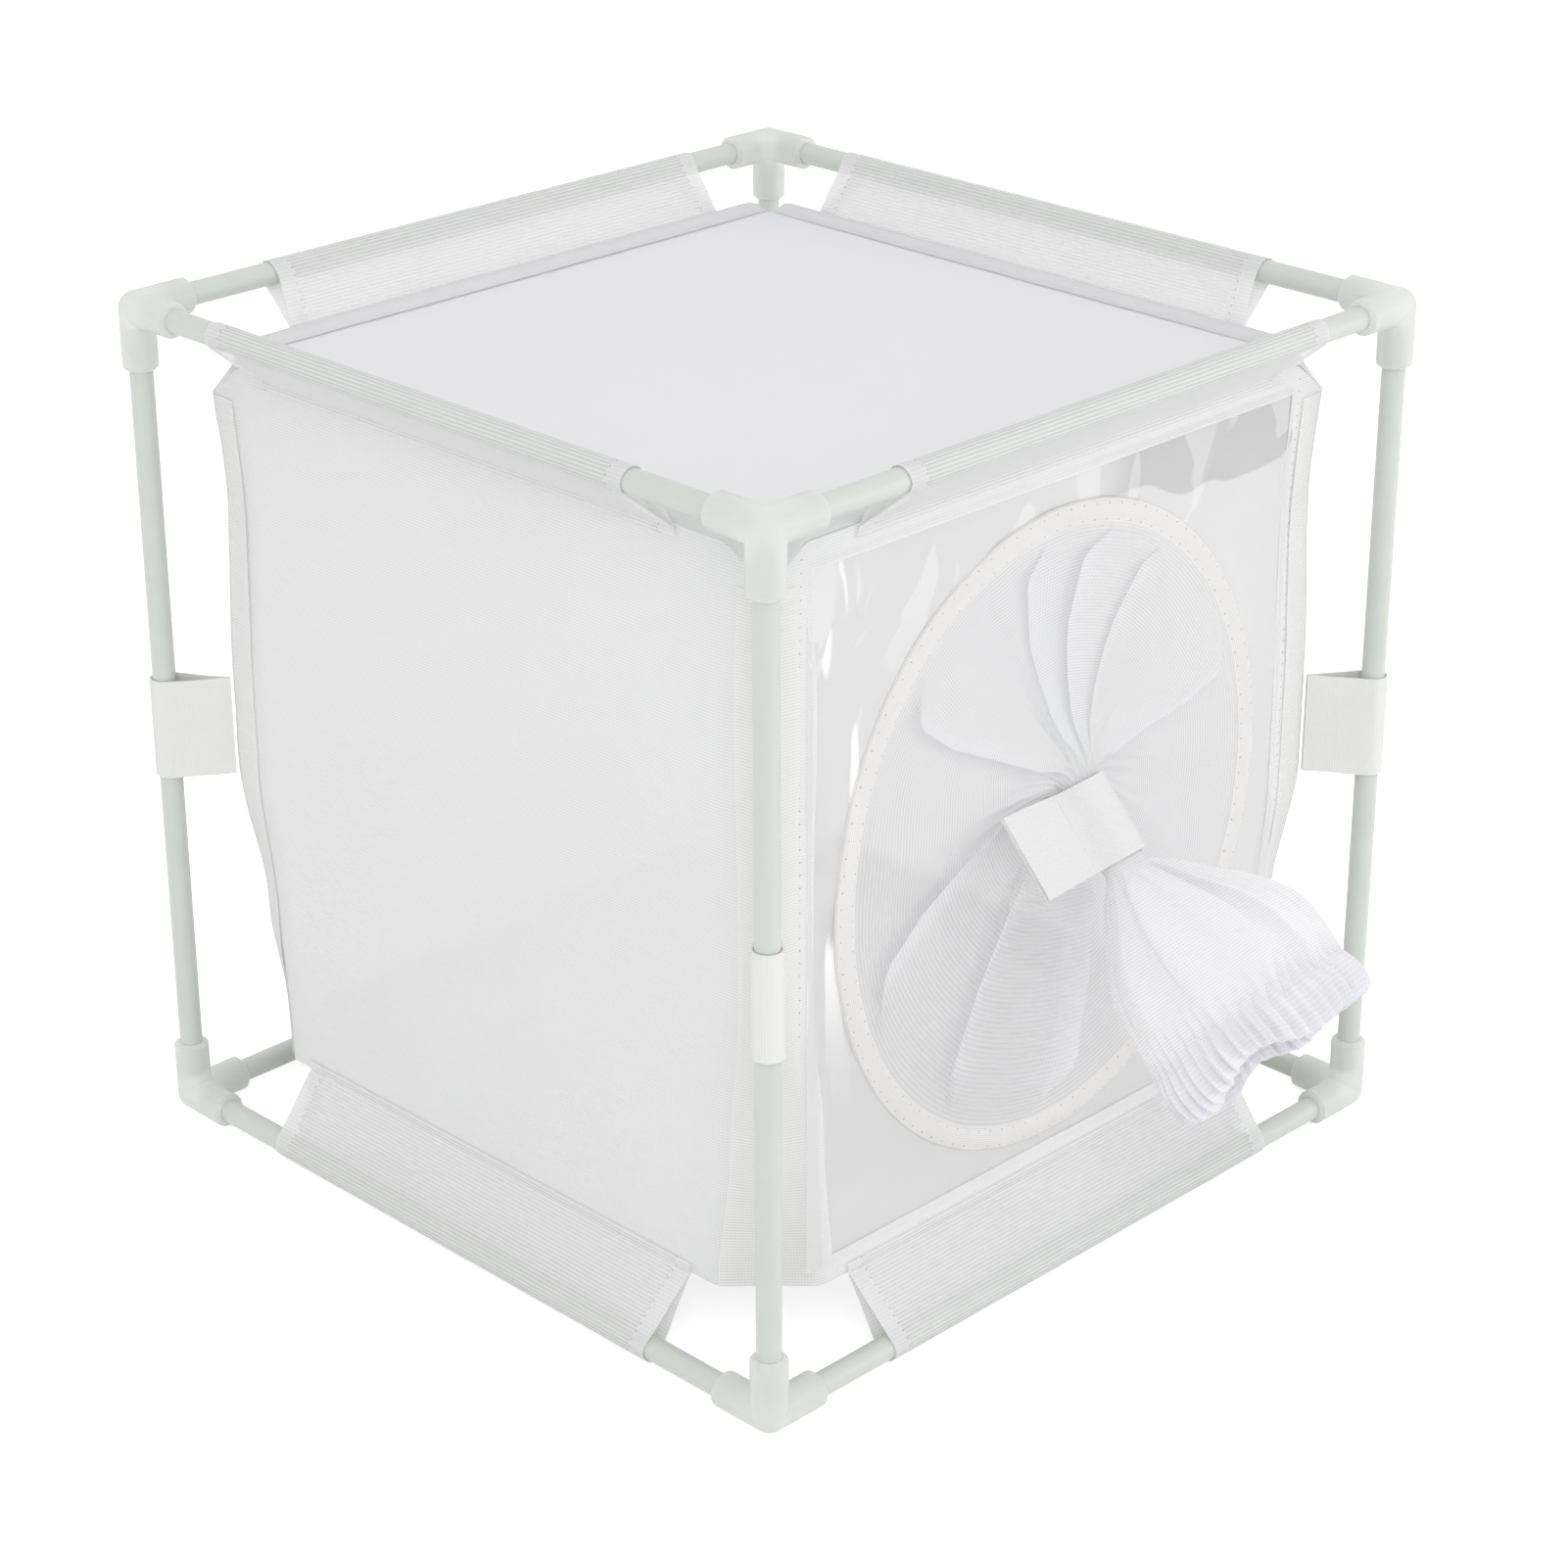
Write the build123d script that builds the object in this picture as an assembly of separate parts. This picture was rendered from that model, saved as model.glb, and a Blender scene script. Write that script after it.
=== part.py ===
from build123d import *
import os
from math import acos, atan2, cos, pi, sin, sqrt

os.makedirs("parts", exist_ok=True)

# Frame: twelve tubes pushed into eight three-way corner fittings
frame_side = 312.0
tube_diameter = 8.6
tube_wall = 1.0
fitting_diameter = 13.0
fitting_leg = 22.0
socket_depth = 13.0
socket_clearance = 0.05
mouth_chamfer = 1.0
foot_flat = 0.3

# Soft box hung inside the frame
panel_inset = 16.0
panel_wing = 18.0
mesh_thickness = 0.6
top_seam_drop = 18.2
bottom_seam_rise = 23.8
corner_sag = 12.0
bottom_corner_inset = 29.0
low_corner_inset = 24.0
strap_corner_inset = 18.5
high_corner_inset = 20.0
top_corner_inset = 17.0
binding_thickness = 0.5
binding_cover = 0.55
welt_width = 9.0
welt_height = 3.5
welt_gap = 0.3

# Pockets that hold the box to the level tubes
top_pocket_length = 208.0
bottom_pocket_length = 200.0
top_pocket_shift = 6.5
pocket_cloth = 0.6
pocket_clearance = 0.25
pocket_lap = 4.0
pocket_tip_gap = 0.3

# Webbing loops that hold the upright seams to the upright tubes
strap_width = 38.0
strap_drop = 3.0
strap_webbing = 1.0
strap_clearance = 0.25
strap_tip_gap = 0.3
strap_seam_gap = 0.2

# Window with its round sleeve port
film_thickness = 0.4
film_lap = 3.0
window_side_border = 3.5
window_end_border = 4.0
port_shift = -4.0
port_drop = 2.5
port_margin = 1.5
port_tape_width = 9.0
port_tape_grip = 6.0
port_tape_face = 1.2
port_tape_back = 0.8
tape_clearance = 0.05

# Pleated mesh between the port and the tied neck
pleat_count = 16
cone_cloth = 0.6
cone_seat = 3.0
pleat_radius = 55.0
pleat_ridge = 9.0
pleat_valley = 1.5
crown_radius = 9.5
crown_reach = 5.5
crown_tilt = 3.5
neck_rise = 25.5
neck_aside = -5.0
neck_reach = 14.3
stem_radius = 5.3
ball_radius = 8.0

# Hook-and-loop tie and the bunched neck inside it
tie_axis = Vector(0.06, -0.63, -0.774).normalized()
tie_width = 31.0
tie_radius = 10.5
tie_webbing = 1.2
tie_clearance = 0.1
bunch_end = 18.0
turn_depth = 3.0
bunch_stem_radius = 4.0
bunch_ball_radius = 5.5
flag_length = 28.0
flag_layer = 0.9
flag_gap = 0.25
flag_hinge_offset = 2.5
flag_hinge_gap = 0.3
turn_clearance = 0.3

# Flared cuff and its elastic frill; cuff_swell gives shares of the way, the width and the height
cuff_wall = 0.8
cuff_start_radius = 6.2
cuff_pleats = 12
cuff_pleat_depth = 0.12
cuff_aside = 20.6
cuff_reach = 46.3
cuff_drop = 56.5
cuff_axis = Vector(0.05, -0.78, -0.62).normalized()
cuff_across = Vector(0.73, -0.37, 0.57)
cuff_half_width = 38.0
cuff_half_height = 20.0
cuff_swell = [(0.27, 0.52, 0.6), (0.6, 0.95, 1.05)]
frill_length = 13.0
frill_flare = 2.0
frill_pleats = 22
frill_pleat_depth = 0.09
mouth_half_width = 26.0
mouth_half_height = 9.5

# Heights and half widths that follow from the sizes above
half_side = frame_side / 2
tube_radius = tube_diameter / 2
fitting_radius = fitting_diameter / 2
base_axis = fitting_radius - foot_flat
top_axis = base_axis + frame_side
top_seam = top_axis - top_seam_drop
bottom_seam = base_axis + bottom_seam_rise
strap_middle = (base_axis + top_axis) / 2 - strap_drop
strap_bottom = strap_middle - strap_width / 2
strap_top = strap_middle + strap_width / 2
face = half_side - panel_inset
flat = face - panel_wing
top_corner = half_side - top_corner_inset
bottom_corner = half_side - bottom_corner_inset
strap_corner = half_side - strap_corner_inset
seam_levels = [
    (bottom_seam, bottom_corner_inset),
    ((bottom_seam + strap_bottom) / 2, low_corner_inset),
    (strap_bottom, strap_corner_inset),
    (strap_top, strap_corner_inset),
    ((strap_top + top_seam) / 2, high_corner_inset),
    (top_seam, top_corner_inset),
]
hole_half = flat - window_side_border
hole_low = bottom_seam + window_end_border
hole_high = top_seam - window_end_border
port_radius = hole_half - abs(port_shift) - port_margin
port_height = (hole_low + hole_high) / 2 - port_drop
side_turns = {"front": 0, "right": 90, "back": 180, "left": 270}
corner_turns = {"front_left": 180, "front_right": 270, "back_right": 0, "back_left": 90}
corners = {
    "front_left": (-1, -1),
    "front_right": (1, -1),
    "back_right": (1, 1),
    "back_left": (-1, 1),
}

nodes = {}


def polygon(*points):
    """Flat face with straight edges through the points."""
    return make_face(Polyline(*points, close=True))


def teardrop(centre, radius, tip, tip_radius):
    """Face round a circle and a small tip circle, joined by their outer tangents."""
    along = atan2(tip[1] - centre[1], tip[0] - centre[0])
    length = sqrt((tip[0] - centre[0]) ** 2 + (tip[1] - centre[1]) ** 2)
    lean = acos((radius - tip_radius) / length)

    def point(middle, size, angle):
        return (middle[0] + size * cos(angle), middle[1] + size * sin(angle))

    upper = point(centre, radius, along + lean)
    rear = point(centre, radius, along + pi)
    lower = point(centre, radius, along - lean)
    tip_lower = point(tip, tip_radius, along - lean)
    nose = point(tip, tip_radius, along)
    tip_upper = point(tip, tip_radius, along + lean)
    outline = [
        ThreePointArc(upper, rear, lower),
        Line(lower, tip_lower),
        ThreePointArc(tip_lower, nose, tip_upper),
        Line(tip_upper, upper),
    ]
    return make_face(outline)


def hollow_teardrop(centre, bore, tip, cloth, tip_gap):
    """Folded cloth round a bore, its two layers closing towards a tip."""
    outside = teardrop(centre, bore + cloth, tip, cloth + tip_gap / 2)
    inside = teardrop(centre, bore, tip, tip_gap / 2)
    return outside - inside


def make_tube():
    """Hollow tube centred on the origin along Z, reaching into both its sockets."""
    length = frame_side - 2 * (fitting_leg - socket_depth) - 2 * socket_clearance
    ring = Circle(tube_radius) - Circle(tube_radius - tube_wall)
    return extrude(ring, length / 2, both=True)


def add_tubes():
    """Four upright tubes and eight level ones, named by where they stand."""
    tube = make_tube()
    middle = (base_axis + top_axis) / 2
    for name, turn in side_turns.items():
        level = Rot(0, 0, turn) * Rot(0, 90, 0) * tube
        out = Vector(0, -half_side, 0).rotate(Axis.Z, turn)
        nodes[f"tube_top_{name}"] = Pos(out.X, out.Y, top_axis) * level
        nodes[f"tube_bottom_{name}"] = Pos(out.X, out.Y, base_axis) * level
    for name, (side_x, side_y) in corners.items():
        nodes[f"tube_upright_{name}"] = Pos(side_x * half_side, side_y * half_side, middle) * tube


def make_fitting():
    """Corner fitting with its axes meeting at the origin and legs along +X, +Y and +Z."""
    body = Sphere(fitting_radius)
    sockets = []
    for plane in (Plane.YZ, Plane.ZX, Plane.XY):
        leg = extrude(plane * Circle(fitting_radius), fitting_leg)
        mouth = leg.faces().sort_by(Axis(plane.origin, plane.z_dir))[-1]
        body += chamfer(mouth.edges(), mouth_chamfer)
        bore = plane.offset(fitting_leg - socket_depth) * Circle(tube_radius + socket_clearance)
        sockets.append(extrude(bore, socket_depth))
    for socket in sockets:
        body -= socket
    return body


def add_fittings():
    """Eight fittings; the four at the bottom stand on small moulded flats."""
    fitting = make_fitting()
    turns = {(-1, -1): 0, (1, -1): 90, (1, 1): 180, (-1, 1): 270}
    cutter = Box(fitting_leg * 3, fitting_leg * 3, foot_flat * 2)
    foot = fitting - Pos(0, 0, -fitting_radius) * cutter
    for name, side in corners.items():
        x = side[0] * half_side
        y = side[1] * half_side
        lower = Rot(0, 0, turns[side]) * foot
        upper = mirror(Rot(0, 0, turns[side]) * fitting, Plane.XY)
        nodes[f"corner_bottom_{name}"] = Pos(x, y, base_axis) * lower
        nodes[f"corner_top_{name}"] = Pos(x, y, top_axis) * upper


def panel_section(height, inset):
    """Level cut through the front panel: a flat middle and two wings to the seams."""
    corner = half_side - inset
    inner = corner - mesh_thickness
    back = face - mesh_thickness
    outline = polygon(
        (-corner, -corner),
        (-flat, -face),
        (flat, -face),
        (corner, -corner),
        (inner, -inner),
        (flat, -back),
        (-flat, -back),
        (-inner, -inner),
    )
    return Plane.XY.offset(height) * outline


def make_panel():
    """Front panel of the soft box, its upper corners cut to the sag of the seams."""
    panel = loft([panel_section(*level) for level in seam_levels], ruled=True)
    fall = corner_sag / (top_corner - flat)
    low = top_seam - fall * (half_side - flat)
    above = top_seam + mesh_thickness
    wedge = polygon((flat, top_seam), (half_side, low), (half_side, above), (flat, above))
    cutter = extrude(Plane.XZ * wedge, frame_side, both=True)
    return panel - cutter - mirror(cutter, Plane.YZ)


def add_panels():
    """Mesh side panels, cloth roof and floor of the box."""
    panel = make_panel()
    for name in ("right", "back", "left"):
        nodes[f"panel_{name}"] = Rot(0, 0, side_turns[name]) * panel

    roof_corners = []
    floor_corners = []
    for turn in side_turns.values():
        start = Vector(face, flat).rotate(Axis.Z, turn)
        corner = Vector(bottom_corner, bottom_corner).rotate(Axis.Z, turn)
        end = Vector(flat, face).rotate(Axis.Z, turn)
        roof_corners += [start, end]
        floor_corners += [start, corner, end]
    roof = extrude(Plane.XY.offset(top_seam) * polygon(*roof_corners), mesh_thickness)
    tab = polygon(
        (face, flat, top_seam),
        (flat, face, top_seam),
        (top_corner, top_corner, top_seam - corner_sag),
    )
    tab = extrude(tab, mesh_thickness, dir=(0, 0, 1))
    for turn in side_turns.values():
        roof += Rot(0, 0, turn) * tab
    nodes["panel_top"] = roof
    floor = Plane.XY.offset(bottom_seam - mesh_thickness) * polygon(*floor_corners)
    nodes["panel_bottom"] = extrude(floor, mesh_thickness)
    return panel


def add_window(panel):
    """Border of the front face, the clear film behind it, and the tape round the port."""
    hole = Box(2 * hole_half, frame_side, hole_high - hole_low)
    opening = Pos(0, -half_side, (hole_low + hole_high) / 2) * hole
    nodes["window_border"] = panel - opening

    sheet_width = 2 * (hole_half + film_lap)
    sheet_height = hole_high - hole_low + 2 * film_lap
    film_front = face - mesh_thickness
    sheet = Pos(0, (hole_low + hole_high) / 2) * Rectangle(sheet_width, sheet_height)
    hole_radius = port_radius - port_tape_grip
    sheet -= Pos(port_shift, port_height) * Circle(hole_radius)
    film = extrude(Plane.XZ * sheet, film_thickness)
    nodes["window_film"] = Pos(0, film_thickness - film_front, 0) * film

    inner = port_radius - port_tape_width
    web = hole_radius - tape_clearance
    front = -film_front - port_tape_face
    back = film_thickness - film_front
    profile = polygon(
        (inner, front),
        (port_radius, front),
        (port_radius, -film_front),
        (web, -film_front),
        (web, back),
        (port_radius, back),
        (port_radius, back + port_tape_back),
        (inner, back + port_tape_back),
    )
    tape = revolve(profile, Axis.Y, 360)
    nodes["port_tape"] = Pos(port_shift, 0, port_height) * tape
    return front


def add_bindings():
    """Strips folded over the four upright seams, ending under the sagged top corners."""
    sections = []
    for height, inset in seam_levels:
        corner = half_side - inset
        along = corner + binding_cover * (flat - corner)
        out = corner + binding_cover * (face - corner)
        outer = corner + binding_thickness
        outline = polygon(
            (along, out),
            (corner, corner),
            (out, along),
            (out + binding_thickness, along),
            (outer, outer),
            (along, out + binding_thickness),
        )
        sections.append(Plane.XY.offset(height) * outline)
    strip = loft(sections, ruled=True)
    cutter = Pos(0, 0, top_seam) * Box(frame_side * 2, frame_side * 2, corner_sag * 2)
    strip -= cutter
    for name, turn in corner_turns.items():
        nodes[f"seam_binding_{name}"] = Rot(0, 0, turn) * strip


def add_welts():
    """Rolled hems along the four edges of the roof."""
    top = top_seam + mesh_thickness
    outer = face - welt_gap
    crest = ThreePointArc((0, 0), (welt_width / 2, welt_height), (welt_width, 0))
    profile = make_face([crest, Line((welt_width, 0), (0, 0))])
    long_half = flat
    short_half = outer - welt_width - welt_gap
    for name, turn in side_turns.items():
        half = long_half if name in ("left", "right") else short_half
        strip = extrude(Plane.YZ * profile, half, both=True)
        nodes[f"welt_{name}"] = Rot(0, 0, turn) * Pos(0, -outer, top) * strip


def make_pocket(tube_height, seam_height, lap_end, length):
    """Front pocket: cloth folded round a level tube, lapped on the face of the box."""
    bore = tube_radius + pocket_clearance
    half = pocket_cloth + pocket_tip_gap / 2
    tip = (-face - half, seam_height)
    centre = (-half_side, tube_height)
    section = hollow_teardrop(centre, bore, tip, pocket_cloth, pocket_tip_gap)
    lap = polygon(
        (-face - 2 * half, seam_height),
        (-face, seam_height),
        (-face, lap_end),
        (-face - 2 * half, lap_end),
    )
    lap -= teardrop(centre, bore, tip, pocket_tip_gap / 2)
    return extrude(Plane.YZ * (section + lap), length / 2, both=True)


def add_pockets():
    """Eight pockets; those on the top tubes sit a little towards the back right."""
    upper = make_pocket(top_axis, top_seam, top_seam - pocket_lap, top_pocket_length)
    lower = make_pocket(base_axis, bottom_seam, bottom_seam + pocket_lap, bottom_pocket_length)
    for name, turn in side_turns.items():
        shift = top_pocket_shift if name in ("front", "right") else -top_pocket_shift
        nodes[f"pocket_top_{name}"] = Rot(0, 0, turn) * Pos(shift, 0, 0) * upper
        nodes[f"pocket_bottom_{name}"] = Rot(0, 0, turn) * lower


def add_straps():
    """Webbing loops round the upright tubes, sewn to the upright seams."""
    bore = tube_radius + strap_clearance
    half = strap_webbing + strap_tip_gap / 2
    seam = strap_corner + binding_thickness
    reach = seam + (half + strap_seam_gap) / sqrt(2)
    section = hollow_teardrop((half_side, half_side), bore, (reach, reach), strap_webbing, strap_tip_gap)
    loop = extrude(Plane.XY.offset(strap_bottom) * section, strap_width)
    for name, turn in corner_turns.items():
        nodes[f"side_strap_{name}"] = Rot(0, 0, turn) * loop


def pleated_cloth(rings, shift):
    """Closed sheet through rings of points, shifted back by its thickness, capped at the last ring."""
    count = len(rings[0])
    faces = []

    def facet(*points):
        faces.append(Face(Wire.make_polygon(points, close=True)))

    for k in range(count):
        n = (k + 1) % count
        for near, far in zip(rings, rings[1:]):
            for offset in (Vector(0, 0, 0), shift):
                facet(near[k] + offset, near[n] + offset, far[n] + offset)
                facet(near[k] + offset, far[n] + offset, far[k] + offset)
        facet(rings[0][k], rings[0][n], rings[0][n] + shift, rings[0][k] + shift)
    facet(*rings[-1])
    facet(*[p + shift for p in rings[-1]])
    return Solid(Shell(faces))


def add_cone(front):
    """Sleeve mesh drawn from the port to the tied neck in radiating pleats."""
    base = front - cone_cloth
    centre = Vector(port_shift, 0, port_height)
    crown = centre + Vector(neck_aside, 0, neck_rise)
    middle = (centre + crown) / 2
    edge = port_radius - port_tape_width + cone_seat
    rings = [[], [], []]
    for k in range(2 * pleat_count):
        angle = pi * k / pleat_count
        out = Vector(cos(angle), 0, sin(angle))
        rise = pleat_ridge if k % 2 == 0 else pleat_valley
        rings[0].append(centre + out * edge + Vector(0, base, 0))
        rings[1].append(middle + out * pleat_radius + Vector(0, base - rise, 0))
        reach = crown_reach + crown_tilt * sin(angle)
        rings[2].append(crown + out * crown_radius + Vector(0, base - reach, 0))
    cloth = pleated_cloth(rings, Vector(0, cone_cloth, 0))
    pivot = crown + Vector(0, base - neck_reach, 0)
    stem_plane = Plane(origin=pivot, x_dir=(1, 0, 0), z_dir=(0, 1, 0))
    stem = extrude(stem_plane * Circle(stem_radius), neck_reach - crown_reach + cone_cloth / 2)
    ball = Pos(pivot.X, pivot.Y, pivot.Z) * Sphere(ball_radius)
    nodes["sleeve_pleats"] = cloth + stem + ball
    return pivot


def add_tie(pivot):
    """Band round the neck, its flag of two pressed layers, and the bunched mesh inside."""
    neck = Plane(origin=pivot, x_dir=(1, 0, 0), z_dir=tie_axis)
    inner = tie_radius - tie_webbing
    band = extrude(neck * (Circle(tie_radius) - Circle(inner)), tie_width)
    layer_low = -flag_gap / 2 - flag_layer
    root = -inner - tie_webbing / 2
    tip = -tie_radius - flag_length
    layer_high = layer_low + flag_layer
    layer = polygon((root, layer_low), (tip, layer_low), (tip, layer_high), (root, layer_high))
    band += extrude(neck * layer, tie_width)
    nodes["tie_band"] = band

    tail_low = flag_gap / 2
    hinge_x = -tie_radius - flag_hinge_offset
    tail_root = hinge_x - flag_hinge_gap
    tail = polygon(
        (tail_root, tail_low),
        (tip, tail_low),
        (tip, tail_low + flag_layer),
        (tail_root, tail_low + flag_layer),
    )
    nodes["tie_tail"] = extrude(neck * tail, tie_width)

    bunch_radius = inner - tie_clearance
    start = ball_radius + turn_clearance
    turn = tie_width - turn_depth
    bunch = extrude(neck.offset(start) * Circle(bunch_radius), bunch_end - start)
    bunch += extrude(neck.offset(bunch_end) * Circle(bunch_stem_radius), turn - bunch_end)
    second = pivot + tie_axis * turn
    bunch += Pos(second.X, second.Y, second.Z) * Sphere(bunch_ball_radius)
    nodes["neck_bunch"] = bunch
    tail_hinge = neck.from_local_coords(Vector(hinge_x, tail_low + flag_layer / 2, tie_width / 2))
    return second, tail_hinge


def pleated_section(plane, half_width, half_height, pleats, depth):
    """Closed zigzag outline round an ellipse in a plane."""
    points = []
    for k in range(2 * pleats):
        angle = pi * k / pleats
        size = 1.0 if k % 2 == 0 else 1.0 - depth
        points.append((size * half_width * cos(angle), size * half_height * sin(angle)))
    return plane * polygon(*points)


def add_cuff(second):
    """Flared end of the sleeve and the gathered elastic frill round its mouth."""
    start = second + tie_axis * (bunch_ball_radius + turn_clearance)
    across = cuff_across - cuff_axis * cuff_across.dot(cuff_axis)
    end = second + Vector(cuff_aside, -cuff_reach, -cuff_drop)
    end_plane = Plane(origin=end, x_dir=across, z_dir=cuff_axis)

    def skin(inset, floor):
        start_plane = Plane(origin=start + tie_axis * floor, x_dir=across, z_dir=tie_axis)
        round_size = cuff_start_radius - inset
        first = pleated_section(start_plane, round_size, round_size, cuff_pleats, cuff_pleat_depth)
        sections = [first]
        for along, wide, high in cuff_swell:
            lean = (tie_axis * (1 - along) + cuff_axis * along).normalized()
            plane = Plane(origin=start + (end - start) * along, x_dir=across, z_dir=lean)
            half_width = wide * cuff_half_width - inset
            half_height = high * cuff_half_height - inset
            sections.append(pleated_section(plane, half_width, half_height, cuff_pleats, cuff_pleat_depth))
        half_width = cuff_half_width - inset
        half_height = cuff_half_height - inset
        last = pleated_section(end_plane, half_width, half_height, cuff_pleats, cuff_pleat_depth)
        return loft(sections + [last], ruled=True)

    nodes["sleeve_cuff"] = skin(0, 0) - skin(cuff_wall, cuff_wall)
    rim = []
    for distance, flare in ((0, 0), (frill_length, frill_flare)):
        plane = end_plane.offset(distance)
        half_width = cuff_half_width + flare
        half_height = cuff_half_height + flare
        rim.append(pleated_section(plane, half_width, half_height, frill_pleats, frill_pleat_depth))
    mouth = end_plane * Ellipse(mouth_half_width, mouth_half_height)
    nodes["elastic_frill"] = loft(rim, ruled=True) - extrude(mouth, 2 * frill_length, both=True)


add_tubes()
add_fittings()
front_panel = add_panels()
tape_front = add_window(front_panel)
add_bindings()
add_welts()
add_pockets()
add_straps()
lift_pivot = add_cone(tape_front)
swing_pivot, tail_pivot = add_tie(lift_pivot)
add_cuff(swing_pivot)

# The origin stands under the middle of the whole outline, sleeve included
bounds = Compound(children=[Compound(node.solids()) for node in nodes.values()]).bounding_box()
to_origin = Pos(0, -(bounds.min.Y + bounds.max.Y) / 2, 0)
for name, node in nodes.items():
    solids = (to_origin * node).solids()
    shape = solids[0] if len(solids) == 1 else Compound(solids)
    export_step(shape, f"parts/{name}.step")
for label, point in (("lift", lift_pivot), ("swing", swing_pivot), ("tail", tail_pivot)):
    placed = to_origin * Pos(point.X, point.Y, point.Z)
    print(label, "pivot", [round(v, 3) for v in placed.position])
print("tie axis", [round(v, 4) for v in tie_axis])
print("shift", round(to_origin.position.Y, 3))
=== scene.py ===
import math

import bpy
from mathutils import Matrix, Vector, noise


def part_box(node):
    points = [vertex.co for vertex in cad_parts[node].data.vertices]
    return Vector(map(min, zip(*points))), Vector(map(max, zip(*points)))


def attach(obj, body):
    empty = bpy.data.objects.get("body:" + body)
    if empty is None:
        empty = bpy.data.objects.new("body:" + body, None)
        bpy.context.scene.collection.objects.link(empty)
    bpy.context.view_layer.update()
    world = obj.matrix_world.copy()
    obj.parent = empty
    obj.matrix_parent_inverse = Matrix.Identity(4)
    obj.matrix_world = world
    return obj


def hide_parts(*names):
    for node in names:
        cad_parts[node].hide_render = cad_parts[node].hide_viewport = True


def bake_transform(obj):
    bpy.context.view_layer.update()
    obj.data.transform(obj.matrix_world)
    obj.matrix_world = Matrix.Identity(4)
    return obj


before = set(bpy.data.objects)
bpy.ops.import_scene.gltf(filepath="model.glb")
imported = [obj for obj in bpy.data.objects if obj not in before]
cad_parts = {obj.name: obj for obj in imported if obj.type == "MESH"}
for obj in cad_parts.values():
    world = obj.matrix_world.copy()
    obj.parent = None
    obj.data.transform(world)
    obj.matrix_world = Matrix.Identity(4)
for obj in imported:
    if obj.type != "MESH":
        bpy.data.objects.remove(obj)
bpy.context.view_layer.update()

# Sizes are in millimetres, and points are measured from the middle of the cage on the floor
MM = 0.001
front_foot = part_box("tube_upright_front_left")[0]
back_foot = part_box("tube_upright_back_left")[1]
cage_y = (front_foot.y + back_foot.y) / 2

sides = {"front": 0, "right": 90, "back": 180, "left": 270}
corner_turns = {"front_left": 0, "front_right": 90, "back_right": 180, "back_left": 270}

# Frame: distance of the tubes' axes from the middle planes, and their heights
half_side = 156.0
base_axis = 6.2
top_axis = 318.2
tube_radius = 4.3

# Box: its seams' heights, and its sides, which are flat in the middle and bend in to the seams
top_seam = 300.0
bottom_seam = 30.0
face = 140.0
flat = 122.0
fold_before = 10.0
fold_past = 2.0
fold_gain = 1.05
side_slack = 1.1
# Height and distance from the middle planes of the upright seams, from floor to roof
seam_corners = [
    (30.0, 127.0), (85.1, 132.0), (140.2, 137.5), (178.2, 137.5), (239.1, 136.0), (300.0, 139.0),
]
# The roof's corners sag and draw in where the distances from both middle planes pass sag_start
corner_sag = 12.0
sag_start = 262.0
sag_reach = 16.0
corner_pull = 0.006
edge_inset = 0.3
welt_width = 9.0
welt_height = 3.2
binding_reach = 12.0

# Pockets and straps
pocket_slack = 0.35
pocket_flare = 2.5
pocket_half = 104.0
hem_row = 97.0
hem_edge = 96.5
lap_height = 4.0
strap_bottom = 140.2
strap_width = 38.0
webbing_thickness = 0.8
tail_thickness = 0.7
sharp_edge = 50.0

# Window, with the shares of a side's half width and height at which its mesh border begins
window_half = 118.5
window_low = 40.2
window_high = 290.0
border_beside = 0.862
border_above = 0.963
border_below = 0.038
border_row = 124.0
film_depth = 139.2
film_lap = 3.0
film_hold = 14.0
port_centre = Vector((-4.0, 0.0, 162.5))
port_radius = 113.0
tape_width = 9.0

# Sleeve and tie, with points measured across the tie from the middle of its loop
neck = Vector((-9.0, -155.5, 188.0))
tie_axis = Vector((0.06, -0.63, -0.774)).normalized()
tie_width = 31.0
tie_half_wide = 10.6
tie_half_high = 7.6
flag_tip = 38.6
flag_root = 13.3
bend_reach = 28.0
bend = neck + tie_axis * bend_reach
cuff_run = Vector((20.6, -46.3, -56.5))
cuff_end = bend + cuff_run
cuff_axis = Vector((0.05, -0.78, -0.62)).normalized()
cuff_across = Vector((0.73, -0.37, 0.57))
cuff_across = (cuff_across - cuff_axis * cuff_across.dot(cuff_axis)).normalized()
cuff_half_width = 36.5
cuff_half_height = 19.5
frill_length = 13.0
ruffle_count = 46


def place(point):
    """Point of the cage in millimetres as a point of the frame in metres."""
    return Vector((point[0] * MM, point[1] * MM + cage_y, point[2] * MM))


def turned(point, degrees):
    """Point turned about the cage's upright middle line."""
    a = math.radians(degrees)
    x, y, z = point
    return Vector((x * math.cos(a) - y * math.sin(a), x * math.sin(a) + y * math.cos(a), z))


def smooth(x, low=0.0, high=1.0):
    """Smooth step from 0 at low to 1 at high."""
    t = min(1.0, max(0.0, (x - low) / (high - low)))
    return t * t * (3 - 2 * t)


def curve(x, stops):
    """Smooth curve through (place, value) stops."""
    places = [a for a, _ in stops]
    values = [b for _, b in stops]
    if x <= places[0]:
        return values[0]
    if x >= places[-1]:
        return values[-1]
    k = max(i for i, a in enumerate(places[:-1]) if a <= x)

    def slope(i):
        low, high = max(0, i - 1), min(len(places) - 1, i + 1)
        return (values[high] - values[low]) / (places[high] - places[low])

    span = places[k + 1] - places[k]
    t = (x - places[k]) / span
    start = values[k] * (1 + 2 * t) * (1 - t) ** 2 + values[k + 1] * t * t * (3 - 2 * t)
    return start + span * (slope(k) * t * (1 - t) ** 2 - slope(k + 1) * t * t * (1 - t))


def steps(low, high, count):
    """Evenly spaced numbers, both ends included."""
    return [low + (high - low) * i / count for i in range(count + 1)]


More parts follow.
